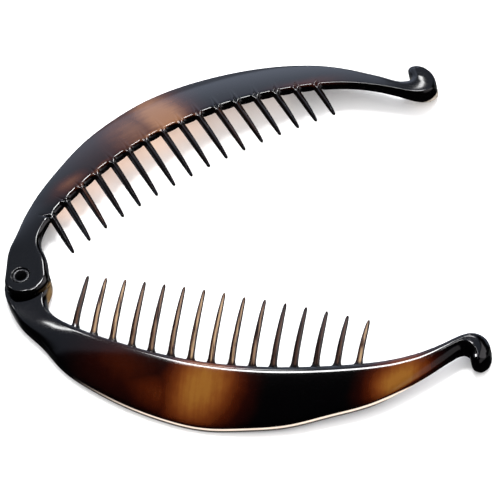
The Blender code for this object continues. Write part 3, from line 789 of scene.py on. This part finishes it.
lap_top, lap_foot, seat_radius = -3.3, -6.3, 9.25
lower_grid, lower_teeth = arm_skin(
    lower_stations, lower_comb, lower_level, mirrored=True, rolled=(1.6, 3.0, 1.8, 1.0), grown=False,
    root_to=lap_foot,
)
lower = skinned("lower_comb_arm", lower_grid, -open_angle, flip=True)
lower_comb_teeth = tooth_solids("lower_teeth", lower_comb, lower_teeth, lower_level, -open_angle)
seat = turned("seat", [(0.0, lap_top), (seat_radius, lap_top), (seat_radius, 5.0), (0.0, 5.0)], 192)
low_eye = turned("low_eye", [
    (0.0, -7.5), (sink_radius, -7.5), (sink_radius, -5.1),
    (bore_radius, -5.1), (bore_radius, -2.0), (0.0, -2.0),
])
cut(lower, [seat, low_eye], [lower_comb_teeth])
lower_tones = [0.35, 0.8, 0.9, 0.55, 0.55, 0.7, 0.85, 0.9, 0.75, 0.6, 0.3, 0.25, 0.25, 0.3, 0.85]
marks(lower, -open_angle, -1.0, lower_level, lower_stations, lower_comb, lower_teeth, lower_tones)
lower_clouds = [
    # x, y, z, half length, half width, half height, turn, softness, strength
    (38.0, 31.0, 0.0, 26.0, 16.0, through, 24.0, 1.0, 0.30),
    (62.5, 36.5, 0.0, 19.5, 23.0, through, 26.0, 1.0, 1.06),
    (49.0, 39.5, 0.0, 22.0, 9.0, through, 18.0, 1.0, 0.44),
    (120.5, 27.6, 0.0, 19.0, 11.0, through, -40.0, 1.0, 1.12),
    # Painted light: the lit inner corner of the seat's wall, in the clear colour.
    (9.6, 3.6, -4.6, 4.4, 6.0, 3.2, 0.0, 0.6, 1.3),
]
lower_colours = [
    (0.0, (0.00028, 0.000224, 0.000336)),
    (0.2, (0.007, 0.000896, 0.000448)),
    (0.4, (0.02688, 0.003696, 0.000672)),
    (0.6, (0.0644, 0.01344, 0.00224)),
    (0.8, (0.1092, 0.03136, 0.00504)),
    (1.0, (0.154, 0.06048, 0.00952)),
]
lower_tooth_colours = [
    (0.0, (0.00196, 0.001456, 0.00168)),
    (0.3, (0.0392, 0.02128, 0.01624)),
    (0.6, (0.14, 0.084, 0.0532)),
    (1.0, (0.3136, 0.2128, 0.1232)),
]
lower.data.materials.clear()
lower.data.materials.append(
    tortoiseshell(
        "lower_tortoiseshell", -open_angle, -1.0, lower_clouds,
        wall=(0.5, 1.6, 0.3), veins=(0.1, 0.6, 0.05, 0.07), clear=(0.20, 0.125, 0.055),
        stops=lower_colours, tooth_stops=lower_tooth_colours,
    )
)
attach(lower, "lower_half")
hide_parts("lower_arm")

# Rivet. A hollow black plastic rivet, pushed through both laps and spread over at each end into a flange
# that sits in the countersinks, so that the arms turn on its shank.
hollow, shank, flange = 1.75, 1.95, 2.7
quarter = np.linspace(0.0, math.pi / 2, 8)
end = [(hollow, -1.6)]
end += [(2.15 - 0.40 * math.cos(a), -0.50 + 0.40 * math.sin(a)) for a in quarter]
end += [(2.34 + 0.36 * math.sin(a), -0.46 + 0.36 * math.cos(a)) for a in quarter]
end += [(flange, -0.7), (shank, -0.9)]
foot_end = [(r, lap_foot - z) for r, z in end[::-1]]
rivet = turned("hinge_rivet", end + foot_end, 96)
rivet.data.shade_smooth()
rivet.data.set_sharp_from_angle(angle=math.radians(40))
black, tree, out = nodes_of("black_rivet")
coords = add(tree, "TexCoord")
fine = add(tree, "TexNoise", {"Vector": coords.outputs["Object"], "Scale": 2500.0, "Detail": 4.0})
tone = ramp(tree, fine.outputs[0], [(0.3, (0.004, 0.004, 0.005)), (0.7, (0.009, 0.009, 0.010))])
gloss = step(tree, fine.outputs[0], 0.3, 0.7, 0.16, 0.26)
bump = add(tree, "Bump", {"Height": fine.outputs[0], "Strength": 0.1, "Distance": 0.00005})
plastic = add(
    tree, "BsdfPrincipled", {"Base Color": tone, "Roughness": gloss, "IOR": 1.5, "Normal": bump.outputs[0]}
)
tree.links.new(plastic.outputs[0], out.inputs[0])
rivet.data.materials.append(black)
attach(rivet, "lower_half")
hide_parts("hinge_pin")

# Floor and light. A white table under one wide soft lamp, with a slate backdrop behind the clip and a
# mostly dark ceiling. Narrow bright panes in the room draw the lines along the roundings, one small lamp
# is aimed at the hinge, and pools of warm light lie under the upper band.
table_half, cells = 4.0, 32
side = np.linspace(-table_half, table_half, cells + 1)
gx, gy = np.meshgrid(side, side, indexing="ij")
spots = np.stack([gx, gy, 0 * gx], -1).reshape(-1, 3)
i, j = np.meshgrid(np.arange(cells), np.arange(cells), indexing="ij")
corner = (i * (cells + 1) + j).reshape(-1, 1)
table_mesh = bpy.data.meshes.new("table")
table_mesh.from_pydata(spots.tolist(), [], (corner + np.array([[0, cells + 1, cells + 2, 1]])).tolist())
table = bpy.data.objects.new("table", table_mesh)
bpy.context.scene.collection.objects.link(table)
paper, tree, out = nodes_of("white_table")
coords = add(tree, "TexCoord")
fleck = add(tree, "TexNoise", {"Vector": coords.outputs["Object"], "Scale": 60.0, "Detail": 4.0})
tone = ramp(tree, fleck.outputs[0], [(0.3, (0.86, 0.86, 0.865)), (0.7, (0.88, 0.88, 0.88))])
matt = add(
    tree, "BsdfPrincipled",
    {"Base Color": tone, "Roughness": 0.9, "Specular IOR Level": 0.1,
     "Emission Color": (1.0, 1.0, 1.0, 1.0), "Emission Strength": 0.1},
)
tree.links.new(matt.outputs[0], out.inputs[0])
table.data.materials.append(paper)
table.visible_glossy = False

scene = bpy.context.scene
scene.view_settings.view_transform = "Standard"
world = bpy.data.worlds.new("studio")
world.use_nodes = True
scene.world = world
tree = world.node_tree
tree.nodes.clear()
coords = add(tree, "TexCoord")
parts = add(tree, "SeparateXYZ", {0: coords.outputs["Generated"]})
height = sums(tree, "ARCTAN2", parts.outputs[2], parts.outputs[1])
height = sums(tree, "DEGREES", height)
across = sums(tree, "DEGREES", sums(tree, "ARCSINE", parts.outputs[0]))


def pane(low, high, left, right, soft, strength, colour):
    """A lit pane of the room: a smooth window in height from the back, times one in angle across."""
    window = 1.0
    for value, start, end in ((height, low, high), (across, left, right)):
        window = sums(tree, "MULTIPLY", window, step(tree, value, start - soft, start + soft))
        window = sums(tree, "MULTIPLY", window, step(tree, value, end - soft, end + soft, 1.0, 0.0))
    bright = sums(tree, "MULTIPLY", window, strength)
    return add(tree, "VectorMath", {0: colour, 3: bright}, operation="SCALE").outputs[0]


upwards = step(tree, height, 5.0, 48.0, 1.30, 0.52)
sideways = step(tree, across, -15.0, 8.0, 0.68, 0.92)
backdrop = sums(tree, "MULTIPLY", upwards, sideways)
slate, white, rose = (0.80, 0.90, 1.14), (1.0, 1.0, 1.0), (1.0, 0.96, 1.0)
lit = [
    # low, high, left, right, softness, strength, colour
    pane(0.0, 72.0, -40.0, 12.0, 1.3, backdrop, slate),
    pane(36.0, 80.0, 12.0, 30.0, 2.5, backdrop, slate),
    pane(10.0, 36.0, 12.0, 30.0, 2.5, 0.3, slate),
    pane(55.0, 125.0, 38.0, 90.0, 4.0, 1.4, rose),
    pane(125.0, 185.0, 34.0, 90.0, 4.0, 0.5, rose),
    pane(62.0, 74.0, -11.0, 13.0, 1.0, 34.0, white),
    pane(78.5, 82.0, 16.5, 19.5, 0.8, 16.0, white),
    pane(25.0, 35.0, 16.5, 18.8, 0.7, 16.0, white),
    pane(56.5, 59.0, -23.5, -17.5, 0.6, 26.0, white),
    pane(45.0, 57.0, 14.0, 24.0, 1.5, 12.0, white),
    pane(-30.0, 0.0, -90.0, 60.0, 2.0, 0.42, slate),
    pane(-60.0, -30.0, -90.0, 90.0, 3.0, 0.18, white),
]
total = (0.008, 0.008, 0.009)
for one in lit:
    total = add(tree, "VectorMath", {0: total, 1: one}, operation="ADD").outputs[0]
sky = add(tree, "Background", {"Color": total, "Strength": 1.0})
out = tree.nodes.new("ShaderNodeOutputWorld")
tree.links.new(sky.outputs[0], out.inputs[0])


def lamp(name, place, aim, width, depth, power, colour, seen):
    """A rectangular soft lamp at a place, facing an aim; seen tells whether it shows in reflections."""
    light = bpy.data.lights.new(name, "AREA")
    light.shape = "RECTANGLE"
    light.size, light.size_y = width, depth
    light.energy = power
    light.color = colour
    fitting = bpy.data.objects.new(name, light)
    scene.collection.objects.link(fitting)
    facing = np.array(place) - np.array(aim)
    facing /= np.linalg.norm(facing)
    across = np.cross([0.0, 1.0, 0.0], facing)
    across /= np.linalg.norm(across)
    rows = np.stack([across, np.cross(facing, across), facing])
    fitting.matrix_world = Matrix.Translation(place) @ Matrix(rows.T.tolist()).to_4x4()
    fitting.visible_glossy = seen
    return fitting


lamp(
    "overhead", (0.0, -0.2, 1.0), (0.0, 0.0, 0.0),
    width=3.0, depth=3.0, power=40.0, colour=(1.0, 0.99, 0.98), seen=False,
)
side_lamp = lamp(
    "side", hinge_at + 0.3 * np.array([0.276, 0.592, 0.757]), hinge_at,
    width=0.05, depth=0.05, power=0.11, colour=white, seen=True,
)
side_lamp.visible_camera = False

# Light that comes down through the upper band, as soft pools of its own colour on the table under it. Each
# small lamp sits just under the band and faces straight away from it.
pools = [
    # along, out, milliwatts, colour
    (24.0, 22.5, 0.24, (1.0, 0.62, 0.42)),
    (36.0, 27.5, 0.26, (1.0, 0.62, 0.44)),
    (48.0, 31.5, 0.28, (1.0, 0.60, 0.40)),
    (60.0, 33.5, 0.32, (1.0, 0.60, 0.38)),
    (72.0, 34.0, 0.28, (1.0, 0.62, 0.42)),
    (85.0, 33.0, 0.20, (1.0, 0.74, 0.62)),
    (98.0, 30.5, 0.16, (1.0, 0.80, 0.70)),
]
for number, (x, y, power, tint) in enumerate(pools):
    face = head_curve(x, y, upper_level)
    spot = laid_down(x, y, face - 4.9, open_angle)
    below = laid_down(x - 0.04 * (x - crest_x), y - 0.094 * y, face - 14.9, open_angle)
    pool = lamp(
        f"pool_{number}", spot, below,
        width=0.011, depth=0.008, power=power * 0.001, colour=tint, seen=False,
    )
    pool.visible_camera = False

# Camera, on a long lens from the front and above, a little right of the middle, so that the clip fills
# the frame. Its place and its three axes are given in the drawing's own directions.
eye_at = laid_down(137.2, -1162.3, 1460.0)
aims = [(0.9769, -0.1436, -0.1581), (0.2106, 0.7718, 0.6), (0.0358, -0.6194, 0.7843)]
axes = [laid_down(*(1000.0 * np.array(a))) - laid_down(0.0, 0.0, 0.0) for a in aims]
lens = bpy.data.cameras.new("camera")
lens.lens = 439.92
lens.sensor_width = 36.0
lens.clip_start, lens.clip_end = 0.05, 30.0
camera = bpy.data.objects.new("camera", lens)
scene.collection.objects.link(camera)
turned_axes = Matrix([list(a / np.linalg.norm(a)) for a in axes]).transposed()
camera.matrix_world = Matrix.Translation(eye_at.tolist()) @ turned_axes.to_4x4()
scene.camera = camera
